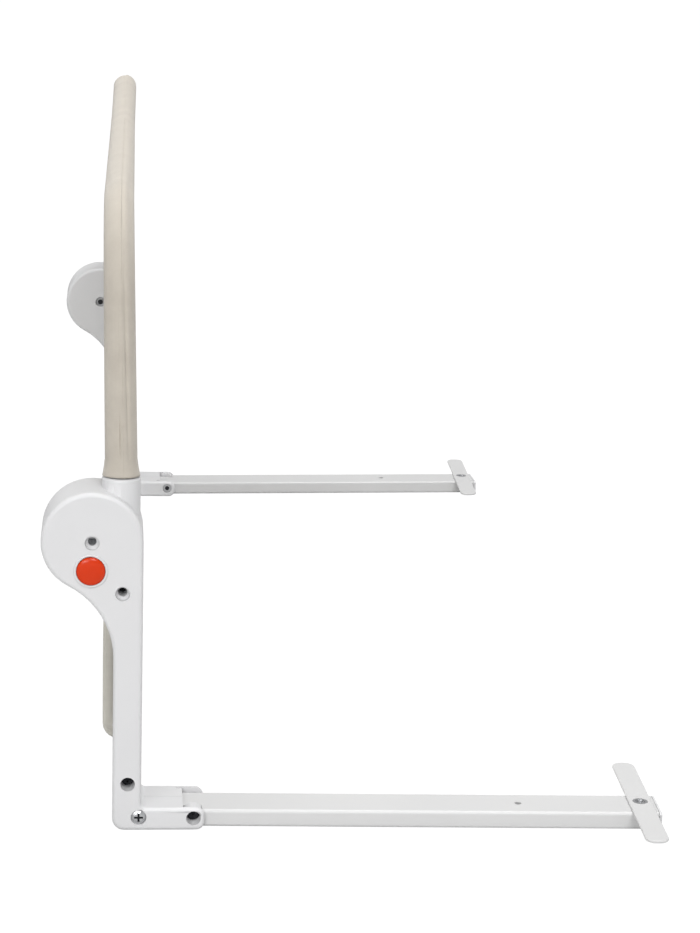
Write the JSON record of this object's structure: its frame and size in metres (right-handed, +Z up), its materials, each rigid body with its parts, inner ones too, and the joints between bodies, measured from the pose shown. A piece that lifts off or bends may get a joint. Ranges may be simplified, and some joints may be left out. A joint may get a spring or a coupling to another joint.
{
  "type": "bed guard rail",
  "caption": "Folding bed guard rail: padded hoop hinged on L-shaped stands with push-button locks, and flat arms with grip plates that go under a mattress.",
  "frame": {"origin": "middle of the footprint on the surface that it stands on", "axes": "+X from the guard towards the bed, +Y along the guard, +Z up"},
  "size_m": [0.4276, 1.0728, 0.4332],
  "materials": {
    "white_plastic": "fine satin, moulded",
    "white_paint": "white powder coat",
    "white_tube": "white powder coat",
    "orange_plastic": "smooth",
    "steel": "zinc plated",
    "dark_steel": "blackened",
    "beige_cloth": "woven"
  },
  "bodies": {
    "base": {"near_outer_shell": "white_plastic", "far_outer_shell": "white_plastic", "near_inner_shell": "white_plastic", "far_inner_shell": "white_plastic", "near_pivot_sleeve": "steel", "far_pivot_sleeve": "steel", "near_pivot_screw": "steel", "far_pivot_screw": "steel", "near_upper_shell_screw": "dark_steel", "far_upper_shell_screw": "dark_steel", "near_lower_shell_screw": "dark_steel", "far_lower_shell_screw": "dark_steel", "near_corner_screw": "steel", "far_corner_screw": "steel", "near_arm_pin": "dark_steel", "far_arm_pin": "dark_steel", "near_arm_pin_nut": "steel", "far_arm_pin_nut": "steel", "lower_bar": "white_tube", "upper_bar": "white_tube", "lower_cover": "beige_cloth"},
    "guard": {"near_hub": "white_plastic", "far_hub": "white_plastic", "guard_hoop": "white_tube", "guard_lower_rail": "white_tube", "guard_cover": "beige_cloth"},
    "near_button": {"near_release_button": "orange_plastic", "near_lock_pin": "steel", "near_button_spring": "steel"},
    "far_button": {"far_release_button": "orange_plastic", "far_lock_pin": "steel", "far_button_spring": "steel"},
    "near_arm": {"near_arm_tube": "white_paint", "near_arm_hinge_block": "white_plastic", "near_arm_end_plug": "white_plastic", "near_grip_plate": "white_paint", "near_plate_screw": "steel"},
    "far_arm": {"far_arm_tube": "white_paint", "far_arm_hinge_block": "white_plastic", "far_arm_end_plug": "white_plastic", "far_grip_plate": "white_paint", "far_plate_screw": "steel"}
  },
  "joints": [
    {"name": "guard_fold", "type": "hinge", "parent": "base", "child": "guard", "pos_m": [-0.17982, -0.00257, 0.2028], "axis": [0, -1, 0], "range_deg": [0, 180]},
    {"name": "near_arm_fold", "type": "hinge", "parent": "base", "child": "near_arm", "pos_m": [-0.11012, -0.45557, 0.009], "axis": [0, -1, 0], "range_deg": [0, 90]},
    {"name": "far_arm_fold", "type": "hinge", "parent": "base", "child": "far_arm", "pos_m": [-0.11012, 0.45043, 0.009], "axis": [0, -1, 0], "range_deg": [0, 90]},
    {"name": "near_button_press", "type": "slide", "parent": "base", "child": "near_button", "axis": [0, 1, 0], "range_m": [0, 0.0035], "stiffness_N_per_m": 400, "springref_m": -0.002, "deforming": ["near_button_spring"]},
    {"name": "far_button_press", "type": "slide", "parent": "base", "child": "far_button", "axis": [0, -1, 0], "range_m": [0, 0.0035], "stiffness_N_per_m": 400, "springref_m": -0.002, "deforming": ["far_button_spring"]}
  ]
}
